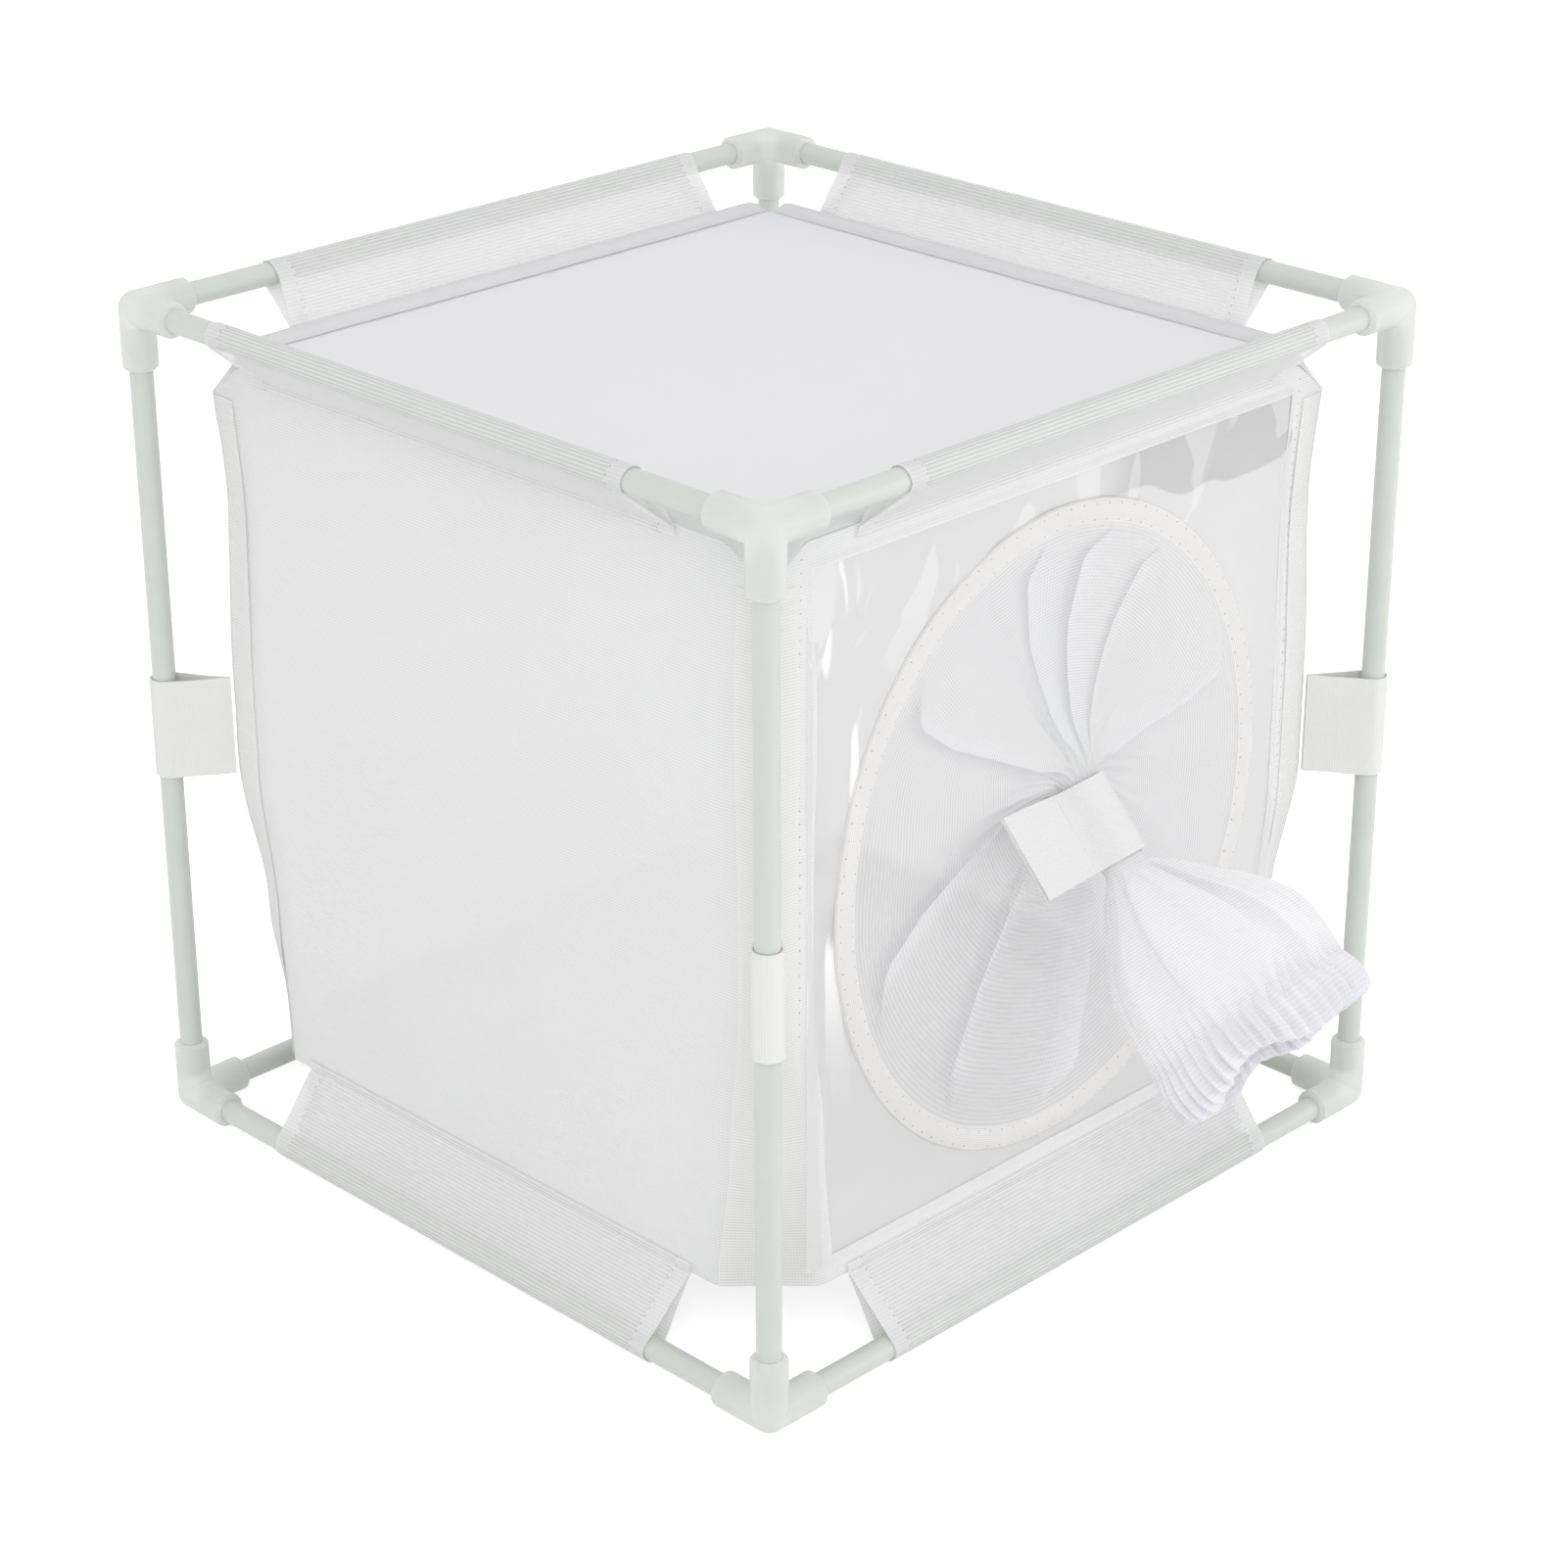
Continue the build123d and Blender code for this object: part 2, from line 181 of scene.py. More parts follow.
def round_steps(count):
    """Evenly spaced angles once round, without the last, which is the first again."""
    return steps(0, 2 * math.pi, count)[:-1]


def ripple(a, b, scale, seed):
    """Soft noise from -1 to 1 over two coordinates, with a grain of scale; seed picks the pattern."""
    return noise.noise(Vector((a / scale, b / scale, seed)))


def bezier(a, b, c, d, t):
    """Place at t on the bend from a to d, which leaves towards b and arrives from c."""
    n = 1 - t
    return a * n ** 3 + b * 3 * n * n * t + c * 3 * n * t * t + d * t ** 3


def angle_between(angle, degrees):
    """Angle in radians less an angle in degrees, from minus half a turn to half a turn."""
    return (angle - math.radians(degrees) + math.pi) % (2 * math.pi) - math.pi


def surface(name, point, us, vs, material, closed=False):
    """Sheet over a grid, where point(u, v) gives a place and its cloth coordinates in millimetres."""
    columns = len(us)
    points = []
    cloth = []
    for v in vs:
        for u in us:
            spot, st = point(u, v)
            points.append(place(spot))
            cloth.append((st[0] * MM, st[1] * MM))
    faces = []
    wrap = columns if closed else columns - 1
    for j in range(len(vs) - 1):
        low, high = j * columns, (j + 1) * columns
        for i in range(wrap):
            n = (i + 1) % columns
            faces.append((low + i, low + n, high + n, high + i))
    mesh = bpy.data.meshes.new(name)
    mesh.from_pydata(points, [], faces)
    layer = mesh.uv_layers.new(name="cloth")
    k = 0
    for corners in faces:
        around = [cloth[corner] for corner in corners]
        if closed and corners[1] % columns == 0:
            # The last strip closes the round, so its far edge goes on instead of back to the start
            far = point(us[-1] + (us[1] - us[0]), vs[corners[1] // columns])[1][0] * MM
            around[1] = (far, around[1][1])
            around[2] = (far, around[2][1])
        for uv in around:
            layer.data[k].uv = uv
            k += 1
    mesh.polygons.foreach_set("use_smooth", [True] * len(mesh.polygons))
    mesh.materials.append(material)
    piece = bpy.data.objects.new(name, mesh)
    bpy.context.scene.collection.objects.link(piece)
    return piece


def thicken(piece, thickness):
    """Gives a sheet its real thickness, half to each side, with square edges."""
    solid = piece.modifiers.new("thickness", "SOLIDIFY")
    solid.thickness = thickness * MM
    solid.offset = 0.0
    edges = piece.modifiers.new("square_edges", "EDGE_SPLIT")
    edges.split_angle = math.radians(sharp_edge)


# Materials


def new_material(name):
    material = bpy.data.materials.new(name)
    material.use_nodes = True
    tree = material.node_tree
    return material, tree, tree.nodes["Principled BSDF"], tree.nodes["Material Output"]


def math_node(tree, operation, a, b=0.0, clamp=False):
    node = tree.nodes.new("ShaderNodeMath")
    node.operation = operation
    node.use_clamp = clamp
    for socket, value in zip(node.inputs, (a, b)):
        if isinstance(value, (int, float)):
            socket.default_value = value
        else:
            tree.links.new(value, socket)
    return node.outputs[0]


def mixed_colour(tree, factor, a, b):
    node = tree.nodes.new("ShaderNodeMix")
    node.data_type = "RGBA"
    tree.links.new(factor, node.inputs["Factor"])
    for socket, value in ((node.inputs["A"], a), (node.inputs["B"], b)):
        if isinstance(value, tuple):
            socket.default_value = (*value, 1.0)
        else:
            tree.links.new(value, socket)
    return node.outputs["Result"]


def mixed_shader(tree, factor, a, b):
    """Shader b over a, where factor tells how much of b shows."""
    node = tree.nodes.new("ShaderNodeMixShader")
    if isinstance(factor, float):
        node.inputs[0].default_value = factor
    else:
        tree.links.new(factor, node.inputs[0])
    tree.links.new(a.outputs[0], node.inputs[1])
    tree.links.new(b.outputs[0], node.inputs[2])
    return node


def lit_through(tree, shader, colour, share):
    """Shader of which a share passes light on, in its own colour."""
    glow = tree.nodes.new("ShaderNodeBsdfTranslucent")
    tree.links.new(colour, glow.inputs["Color"])
    return mixed_shader(tree, share, shader, glow)


def cloth_coordinates(tree):
    uv = tree.nodes.new("ShaderNodeUVMap")
    uv.uv_map = "cloth"
    split = tree.nodes.new("ShaderNodeSeparateXYZ")
    tree.links.new(uv.outputs[0], split.inputs[0])
    return split.outputs["X"], split.outputs["Y"]


def soft_noise(tree, scale, detail=2.0):
    place_node = tree.nodes.new("ShaderNodeTexCoord")
    node = tree.nodes.new("ShaderNodeTexNoise")
    node.inputs["Scale"].default_value = scale
    node.inputs["Detail"].default_value = detail
    tree.links.new(place_node.outputs["Object"], node.inputs["Vector"])
    return node.outputs["Fac"]


def soft_step(tree, value, low, high):
    """Smooth step from 0 at low to 1 at high."""
    node = tree.nodes.new("ShaderNodeMapRange")
    node.interpolation_type = "SMOOTHSTEP"
    node.inputs["From Min"].default_value = low
    node.inputs["From Max"].default_value = high
    tree.links.new(value, node.inputs["Value"])
    return node.outputs["Result"]


def fade(tree, value, start, end):
    """0 at start and 1 at end of a coordinate, in millimetres."""
    return soft_step(tree, value, start * MM, end * MM)


def wave(tree, coordinate, pitch):
    """Smooth wave from 0 to 1 with the given pitch in millimetres."""
    turns = math_node(tree, "MULTIPLY", coordinate, 2 * math.pi / (pitch * MM))
    sine = math_node(tree, "SINE", turns)
    half = math_node(tree, "MULTIPLY", sine, 0.5)
    return math_node(tree, "ADD", half, 0.5)


def hole_rows(tree, along, across, rows, pitch):
    """1 at the needle holes of stitch rows, where across equals a row's place in millimetres."""
    radius = 0.36
    patch_scale, strength = 120.0, 1.2
    part = math_node(tree, "FRACT", math_node(tree, "DIVIDE", along, pitch * MM))
    step = math_node(tree, "MULTIPLY", math_node(tree, "SUBTRACT", part, 0.5), pitch)
    other = math_node(tree, "MULTIPLY", step, step)
    total = None
    for row in rows:
        aside = math_node(tree, "DIVIDE", math_node(tree, "SUBTRACT", across, row * MM), MM)
        square = math_node(tree, "MULTIPLY", aside, aside)
        distance = math_node(tree, "SQRT", math_node(tree, "ADD", square, other))
        dot = math_node(tree, "LESS_THAN", distance, radius)
        total = dot if total is None else math_node(tree, "MAXIMUM", total, dot)
    pulled = math_node(tree, "MULTIPLY", soft_noise(tree, patch_scale), strength)
    return math_node(tree, "MULTIPLY", total, pulled)


def bump(tree, shader, height, strength, distance):
    node = tree.nodes.new("ShaderNodeBump")
    node.inputs["Strength"].default_value = strength
    node.inputs["Distance"].default_value = distance * MM
    tree.links.new(height, node.inputs["Height"])
    tree.links.new(node.outputs[0], shader.inputs["Normal"])


def cloth_material(name, light, dark, rib_pitch, thread_pitch, cover=1.0, openness=0.0, rows=(),
                   row_pitch=3.0, row_across="X", hem=None, far=None, roughness=0.85, translucent=0.25):
    """Woven or knitted cloth: ribs and threads from its own coordinates, more or less open.

    cover is what its threads hide, which falls by openness between them. rows are the places of
    stitch rows, and beyond hem the cloth is doubled, both in millimetres. far holds a second light
    and dark colour, and the length in which the cloth turns to them.
    """
    rib_share, thread_share = 0.65, 0.35
    weave_share, patch_share, patch_scale = 0.75, 0.25, 22.0
    hole_shade, hem_cover = 0.4, 0.93
    material, tree, shader, output = new_material(name)
    u, v = cloth_coordinates(tree)
    ribs = math_node(tree, "MULTIPLY", wave(tree, v, rib_pitch), rib_share)
    threads = math_node(tree, "MULTIPLY", wave(tree, u, thread_pitch), thread_share)
    weave = math_node(tree, "ADD", ribs, threads)
    patch = soft_noise(tree, patch_scale)
    tone = math_node(tree, "MULTIPLY", weave, weave_share)
    tone = math_node(tree, "ADD", tone, math_node(tree, "MULTIPLY", patch, patch_share))
    colour = mixed_colour(tree, tone, dark, light)
    if far:
        far_light, far_dark, reach = far
        other = mixed_colour(tree, tone, far_dark, far_light)
        colour = mixed_colour(tree, fade(tree, v, 0.0, reach), colour, other)
    if rows:
        along, across = (v, u) if row_across == "X" else (u, v)
        holes = hole_rows(tree, along, math_node(tree, "ABSOLUTE", across), rows, row_pitch)
        colour = mixed_colour(tree, holes, colour, tuple(c * hole_shade for c in dark))
    tree.links.new(colour, shader.inputs["Base Color"])
    shader.inputs["Roughness"].default_value = roughness
    bump(tree, shader, weave, strength=0.4, distance=0.2)
    last = lit_through(tree, shader, colour, translucent)
    if openness > 0:
        clear = tree.nodes.new("ShaderNodeBsdfTransparent")
        gaps = math_node(tree, "MULTIPLY", math_node(tree, "SUBTRACT", 1.0, weave), openness)
        solid_part = math_node(tree, "SUBTRACT", cover, gaps, clamp=True)
        if hem:
            doubled = math_node(tree, "GREATER_THAN", math_node(tree, "ABSOLUTE", u), hem * MM)
            doubled = math_node(tree, "MULTIPLY", doubled, hem_cover)
            solid_part = math_node(tree, "MAXIMUM", solid_part, doubled)
        last = mixed_shader(tree, solid_part, clear, last)
    tree.links.new(last.outputs[0], output.inputs["Surface"])
    return material


def tube_material():
    """Pale green pipe plastic with faint mottling and a fine bump."""
    material, tree, shader, _ = new_material("tube_plastic")
    spots = soft_noise(tree, 60.0, 4.0)
    colour = mixed_colour(tree, spots, (0.575, 0.62, 0.565), (0.635, 0.675, 0.625))
    tree.links.new(colour, shader.inputs["Base Color"])
    shader.inputs["Roughness"].default_value = 0.38
    shader.inputs["Subsurface Weight"].default_value = 0.2
    shader.inputs["Subsurface Radius"].default_value = (0.004, 0.005, 0.004)
    fine = soft_noise(tree, 900.0, 2.0)
    bump(tree, shader, fine, strength=0.06, distance=0.1)
    return material


def fitting_material():
    """Milky translucent moulding that shows the tube ends inside."""
    glow_share, least_cover, edge_cover = 0.45, 0.78, 0.35
    material, tree, shader, output = new_material("fitting_plastic")
    spots = soft_noise(tree, 45.0, 3.0)
    colour = mixed_colour(tree, spots, (0.86, 0.87, 0.845), (0.92, 0.93, 0.91))
    tree.links.new(colour, shader.inputs["Base Color"])
    shader.inputs["Roughness"].default_value = 0.3
    fine = soft_noise(tree, 500.0, 2.0)
    bump(tree, shader, fine, strength=0.05, distance=0.1)
    body = lit_through(tree, shader, colour, glow_share)
    clear = tree.nodes.new("ShaderNodeBsdfTransparent")
    clear.inputs["Color"].default_value = (0.97, 0.98, 0.96, 1.0)
    facing = tree.nodes.new("ShaderNodeLayerWeight")
    facing.inputs["Blend"].default_value = 0.5
    cover = math_node(tree, "MULTIPLY", facing.outputs["Facing"], edge_cover)
    cover = math_node(tree, "ADD", cover, least_cover, clamp=True)
    last = mixed_shader(tree, cover, clear, body)
    tree.links.new(last.outputs[0], output.inputs["Surface"])
    return material


def stretched_noise(tree, u, v, scale_u, scale_v, edge_low, edge_high):
    """Noise over the film's own coordinates, turned into patches with soft edges."""
    join = tree.nodes.new("ShaderNodeCombineXYZ")
    tree.links.new(math_node(tree, "MULTIPLY", u, scale_u), join.inputs["X"])
    tree.links.new(math_node(tree, "MULTIPLY", v, scale_v), join.inputs["Y"])
    node = tree.nodes.new("ShaderNodeTexNoise")
    node.inputs["Scale"].default_value = 1.0
    node.inputs["Detail"].default_value = 1.5
    node.inputs["Distortion"].default_value = 1.2
    tree.links.new(join.outputs[0], node.inputs["Vector"])
    return soft_step(tree, node.outputs["Fac"], edge_low, edge_high)


def film_material():
    """Clear soft film: hazy, with painted highlight patches near the top, painted highlight streaks
    where it creases near the left edge, and a band of painted shade near the top right.
    """
    # Strengths of the painted highlight patches near the top and the painted highlight streaks along
    # the left creases
    highlight_patch_gain, crease_highlight_gain = 0.22, 0.9
    ragged_height = 30.0
    # How opaque the film is at least, at grazing angles, under the painted highlights and under the
    # painted shade
    least_cover, gloss_cover, highlight_cover, painted_shade_cover = 0.22, 0.45, 0.6, 0.2
    material, tree, shader, output = new_material("window_film_clear")
    u, v = cloth_coordinates(tree)
    # Where each effect fades in, in millimetres across the film and up it
    top = fade(tree, v, 225.0, 275.0)
    left = math_node(tree, "SUBTRACT", 1.0, fade(tree, u, -106.0, -84.0))
    left = math_node(tree, "MULTIPLY", left, fade(tree, v, 90.0, 190.0))
    ragged = math_node(tree, "MULTIPLY", soft_noise(tree, 28.0, 1.0), ragged_height * MM)
    # Painted shade: a darker band under the top edge towards the right, with a ragged lower edge
    painted_shade = fade(tree, math_node(tree, "ADD", v, ragged), 286.0, 287.5)
    painted_shade = math_node(tree, "MULTIPLY", painted_shade, fade(tree, u, 10.0, 40.0))
    # Painted highlights: patches near the top and streaks along the creases near the left edge
    highlight_patches = stretched_noise(tree, u, v, scale_u=26.0, scale_v=16.0, edge_low=0.53, edge_high=0.56)
    highlight_patches = math_node(tree, "MULTIPLY", highlight_patches, top)
    crease_highlights = stretched_noise(tree, u, v, scale_u=70.0, scale_v=9.0, edge_low=0.54, edge_high=0.6)
    crease_highlights = math_node(tree, "MULTIPLY", crease_highlights, left)
    painted_highlight = math_node(tree, "MULTIPLY", highlight_patches, highlight_patch_gain)
    crease_highlights = math_node(tree, "MULTIPLY", crease_highlights, crease_highlight_gain)
    painted_highlight = math_node(tree, "ADD", painted_highlight, crease_highlights, clamp=True)
    haze = soft_noise(tree, 14.0, 3.0)
    colour = mixed_colour(tree, haze, (0.69, 0.69, 0.69), (0.76, 0.76, 0.76))
    # The painted shade darkens the film's colour, and the painted highlights lighten it almost to white
    colour = mixed_colour(tree, painted_shade, colour, (0.5, 0.5, 0.5))
    colour = mixed_colour(tree, painted_highlight, colour, (0.97, 0.97, 0.97))
    tree.links.new(colour, shader.inputs["Base Color"])
    shader.inputs["Roughness"].default_value = 0.08
    bump(tree, shader, soft_noise(tree, 30.0, 1.5), strength=0.2, distance=1.5)
    clear = tree.nodes.new("ShaderNodeBsdfTransparent")
    clear.inputs["Color"].default_value = (0.935, 0.935, 0.935, 1.0)
    gloss = tree.nodes.new("ShaderNodeLayerWeight")
    gloss.inputs["Blend"].default_value = 0.35
    base = math_node(tree, "MULTIPLY", gloss.outputs["Fresnel"], gloss_cover)
    base = math_node(tree, "ADD", base, least_cover)
    # The painted highlights and the painted shade also make the film more opaque
    base = math_node(tree, "ADD", base, math_node(tree, "MULTIPLY", painted_highlight, highlight_cover))
    painted_shade_opacity = math_node(tree, "MULTIPLY", painted_shade, painted_shade_cover)
    cover = math_node(tree, "ADD", base, painted_shade_opacity, clamp=True)
    last = mixed_shader(tree, cover, clear, shader)
    tree.links.new(last.outputs[0], output.inputs["Surface"])
    return material


tube_plastic = tube_material()
fitting_plastic = fitting_material()
film_clear = film_material()
mesh_fine = cloth_material(
    "mesh_fine", (0.905, 0.905, 0.91), (0.835, 0.835, 0.84), rib_pitch=1.1, thread_pitch=0.9,
    cover=0.97, openness=0.12)
mesh_ribbed = cloth_material(
    "mesh_ribbed", (0.92, 0.92, 0.92), (0.79, 0.79, 0.795), rib_pitch=1.35, thread_pitch=0.6,
    cover=0.93, openness=0.3, rows=(hem_row,), hem=hem_edge)
mesh_border = cloth_material(
    "mesh_border", (0.94, 0.94, 0.94), (0.88, 0.88, 0.885), rib_pitch=1.1, thread_pitch=0.7,
    cover=0.97, openness=0.12, rows=(border_row,), row_pitch=4.5)
mesh_binding = cloth_material(
    "mesh_binding", (0.95, 0.945, 0.94), (0.86, 0.855, 0.85), rib_pitch=1.1, thread_pitch=0.7,
    openness=0.15)
mesh_sleeve = cloth_material(
    "mesh_sleeve", (0.95, 0.95, 0.955), (0.87, 0.87, 0.88), rib_pitch=1.2, thread_pitch=0.6,
    cover=0.84, openness=0.2, translucent=0.45)
cuff_light = (0.98, 0.98, 0.985)
cuff_dark = (0.86, 0.86, 0.87)
mesh_cuff = cloth_material(
    "mesh_cuff", cuff_light, cuff_dark, rib_pitch=1.35, thread_pitch=0.6, openness=0.14,
    translucent=0.35)
frill_light = (0.975, 0.968, 0.988)
frill_dark = (0.855, 0.84, 0.895)
mesh_frill = cloth_material(
    "mesh_frill", cuff_light, cuff_dark, rib_pitch=1.35, thread_pitch=0.7, translucent=0.3,
    far=(frill_light, frill_dark, 14.0))
roof_cloth = cloth_material(
    "roof_cloth", (0.87, 0.87, 0.89), (0.85, 0.85, 0.87), rib_pitch=0.45, thread_pitch=0.45,
    translucent=0.15)
welt_cloth = cloth_material(
    "welt_cloth", (0.85, 0.85, 0.86), (0.77, 0.77, 0.78), rib_pitch=0.9, thread_pitch=0.5)
tape_cloth = cloth_material(
    "tape_cloth", (0.98, 0.97, 0.955), (0.92, 0.91, 0.895), rib_pitch=0.8, thread_pitch=0.5,
    cover=0.92, openness=0.2, rows=(1.6, 7.2), row_pitch=6.5, row_across="Y")
webbing = cloth_material(
    "webbing", (0.92, 0.92, 0.90), (0.85, 0.85, 0.83), rib_pitch=0.9, thread_pitch=0.8,
    translucent=0.15)
tie_webbing = cloth_material(
    "tie_webbing", (0.85, 0.85, 0.85), (0.775, 0.775, 0.775), rib_pitch=0.8, thread_pitch=0.8,
    translucent=0.1)


# Frame


def dress_frame():
    """The tubes and fittings keep their modelled shape and get their plastics."""
    for name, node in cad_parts.items():
        if name.startswith("tube"):
            node.data.materials.clear()
            node.data.materials.append(tube_plastic)
        elif name.startswith("corner"):
            node.data.materials.clear()
            node.data.materials.append(fitting_plastic)


# Box


def corner_at(z):
    """Distance of an upright seam from the cage's middle planes at a height."""
    for (low, a), (high, b) in zip(seam_corners, seam_corners[1:]):
        if z <= high:
            return a + (b - a) * smooth(z, low, high)
    return seam_corners[-1][1]


def side_out(x, corner):
    """Distance of a side from the cage's middle at x along it, which bends in to the seam at corner."""
    fold = smooth(abs(x), flat - fold_before, corner + fold_past)
    return face + (corner - face) * min(1.0, fold * fold_gain)


def corner_share(reach):
    """How far the roof is in a sagging corner, for the sum of the distances from both middle planes."""
    return max(0.0, (reach - sag_start) / sag_reach)


def side_point(f, v, depth=0.0, seed=0.0):
    """Point of the front side, with f from -1 to 1 across it and v from 0 to 1 up it.

    Its top edge sags with the roof's corners, and its middle is a little slack.
    """
    widest = seam_corners[-1][1]
    top = top_seam - corner_sag * max(0.0, abs(f) * widest - flat) / (widest - flat)
    z = bottom_seam + (top - bottom_seam) * v
    corner = corner_at(z)
    x = f * corner
    out = side_out(x, corner)
    middle = (1 - abs(f) ** 6) * smooth(v, 0.0, 0.08) * (1 - smooth(v, 0.92, 1.0))
    out += middle * side_slack * ripple(x, z, 55.0, seed)
    return Vector((x, -out + depth, z)), (x, z)


def side_sheets():
    """Mesh sides on the right, back and left of the box."""
    for k, name in enumerate(("right", "back", "left")):
        turn = sides[name]

        def point(f, v):
            spot, st = side_point(f, v, depth=edge_inset, seed=3.0 + k)
            return turned(spot, turn), st

        piece = surface(f"side_mesh_{name}", point, steps(-1, 1, 90), steps(0, 1, 80), mesh_fine)
        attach(piece, "root")
        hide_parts(f"panel_{name}")


def roof_and_floor():
    """Plain cloth roof with its sagging corners, and the floor."""
    half = face - edge_inset
    roof_lift, roof_sag, roof_slack = 0.4, 1.6, 0.5
    floor_lift, floor_inset, floor_slack = 0.1, 0.2, 0.5

    def roof(x, y):
        share = corner_share(abs(x) + abs(y))
        middle = (1 - (x / half) ** 4) * (1 - (y / half) ** 4)
        z = top_seam + roof_lift - corner_sag * share - roof_sag * middle
        z += roof_slack * middle * ripple(x, y, 70.0, 8.0)
        squeeze = 1 - corner_pull * share
        return Vector((x * squeeze, y * squeeze, z)), (x, y)

    piece = surface("roof_sheet", roof, steps(-half, half, 90), steps(-half, half, 90), roof_cloth)
    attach(piece, "root")
    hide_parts("panel_top")

    corner = corner_at(bottom_seam)

    def floor(f, g):
        """Place for f and g from -1 to 1 across the floor, whose edges meet the sides' lower edges."""
        x = f * (side_out(g * corner, corner) - floor_inset)
        y = g * (side_out(f * corner, corner) - floor_inset)
        rim = max(abs(f), abs(g)) ** 8
        slack = floor_slack * ripple(x, y, 60.0, 4.0) - floor_slack
        z = bottom_seam + floor_lift + slack * (1 - rim)
        return Vector((x, y, z)), (x, y)

    piece = surface("floor_sheet", floor, steps(-1, 1, 60), steps(-1, 1, 60), mesh_fine)
    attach(piece, "root")
    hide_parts("panel_bottom")


def welts():
    """Rolled hems along the roof's edges; the right and left ones run under the other two's ends."""
    end_past, end_short, end_round = 6.0, 1.5, 3.0
    seat, over_lift, cloth_width = 0.5, 0.2, 11.0
    for name, turn in sides.items():
        long = name in ("left", "right")
        half = flat + end_past if long else face - welt_width - end_short
        lift = 0.0 if long else over_lift

        def point(x, v):
            angle = math.pi * v
            end = min(1.0, (half - abs(x)) / end_round + 0.25)
            out = face - edge_inset - welt_width / 2 + welt_width / 2 * math.cos(angle)
            out += 0.3 * ripple(x, 0, 18.0, turn)
            up = welt_height * math.sin(angle) * end * (1 + 0.12 * ripple(x, v * 9, 12.0, turn + 5))
            z = top_seam + seat + lift + up - corner_sag * corner_share(abs(x) + out)
            return turned(Vector((x, -out, z)), turn), (x, v * cloth_width)

        piece = surface(f"welt_roll_{name}", point, steps(-half, half, 120), steps(0, 1, 10),
                        welt_cloth)
        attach(piece, "root")
        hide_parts(f"welt_{name}")


def bindings():
    """Strips folded over the upright seams."""
    top_gap, stand_off = 1.0, 0.55
    for name, turn in corner_turns.items():

        def point(w, v):
            z = bottom_seam + (top_seam - corner_sag - top_gap - bottom_seam) * v
            corner = corner_at(z)
            f = -1 + abs(w) / corner
            spot, _ = side_point(f, (z - bottom_seam) / (top_seam - bottom_seam))
            spot = Vector((spot.x, spot.y - stand_off, z))
            if w < 0:
                spot = Vector((spot.y, spot.x, spot.z))
            bulge = 0.8 * (1 - abs(w) / binding_reach) + 0.35 * ripple(w, z, 16.0, turn)
            return turned(spot + Vector((-0.5, -0.5, 0)) * bulge, turn), (w, z)

        across = steps(-binding_reach, binding_reach, 16)
        piece = surface(f"seam_tape_{name}", point, across, steps(0, 1, 120), mesh_binding)
        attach(piece, "root")
        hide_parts(f"seam_binding_{name}")


# Window


def ring_radius(angle):
    """Outer radius of the port, which the soft film lets stretch a little upright."""
    return port_radius - 5.0 * math.cos(2 * angle) + 3.0 * math.cos(angle)


def window():
    """Mesh border, clear film and the taped port."""
    strips = (
        ("left", steps(-1, -border_beside, 12), steps(0, 1, 70)),
        ("right", steps(border_beside, 1, 12), steps(0, 1, 70)),
        ("top", steps(-border_beside, border_beside, 70), steps(border_above, 1, 6)),
        ("bottom", steps(-border_beside, border_beside, 70), steps(0, border_below, 6)),
    )

    def border(f, v):
        return side_point(f, v, depth=0.2)

    for name, lateral, heights in strips:
        piece = surface(f"window_border_{name}", border, lateral, heights, mesh_border)
        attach(piece, "root")
        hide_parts("window_border")

    half = window_half + film_lap
    low = window_low - film_lap
    high = window_high + film_lap
    under_tape = 2.0
    tiny, endless = 1e-6, 1e9
    long_wave, short_wave = 1.3, 0.8

    def film(angle, t):
        """Place on the line at an angle from the port's hole to the film's edge."""
        dx, dz = math.cos(angle), math.sin(angle)
        hole = ring_radius(angle) - tape_width + under_tape
        start = (port_centre.x + hole * dx, port_centre.z + hole * dz)
        reach = min(
            ((half if dx > 0 else -half) - port_centre.x) / dx if abs(dx) > tiny else endless,
            ((high if dz > 0 else low) - port_centre.z) / dz if abs(dz) > tiny else endless,
        )
        end = (port_centre.x + reach * dx, port_centre.z + reach * dz)
        x = start[0] + (end[0] - start[0]) * t
        z = start[1] + (end[1] - start[1]) * t
        edge = min(window_half - abs(x), z - window_low, window_high - z)
        loose = smooth(t, 0.0, 0.25) * smooth(edge, 0.0, film_hold)
        wave_out = long_wave * ripple(x, z, 34.0, 2.0) + short_wave * ripple(x, z, 13.0, 6.0)
        return Vector((x, -film_depth - loose * wave_out, z)), (x, z)

    # Corner angles are included so that the film keeps its square corners
    square = [math.atan2(z - port_centre.z, x - port_centre.x) % (2 * math.pi)
              for x in (half, -half) for z in (low, high)]
    angles = sorted(set([2 * math.pi * i / 180 for i in range(180)] + square))
    piece = surface("window_film_sheet", film, angles, steps(0, 1, 24), film_clear, closed=True)
    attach(piece, "root")
    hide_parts("window_film")

    least_puff, more_puff, tape_set = 0.55, 0.9, 0.35

    def tape(angle, t):
        """Place on the folded tape, over the front for t up to 0.5 and back behind it."""
        inner = ring_radius(angle) - tape_width
        across = 0.5 - 0.5 * math.cos(2 * math.pi * t)
        side = 1.0 if t < 0.5 else -1.0
        radius = inner + tape_width * across
        puff = least_puff + more_puff * math.sin(math.pi * across)
        puff += 0.3 * ripple(angle * 60, t * 8, 6.0, 9.0)
        y = -film_depth - side * puff - tape_set
        x = port_centre.x + radius * math.cos(angle)
        z = port_centre.z + radius * math.sin(angle)
        return Vector((x, y, z)), (angle * port_radius, across * tape_width)

    piece = surface("port_tape_ring", tape, round_steps(240), steps(0, 1, 18), tape_cloth,
                    closed=True)
    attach(piece, "root")
    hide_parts("port_tape")


# Pockets and straps


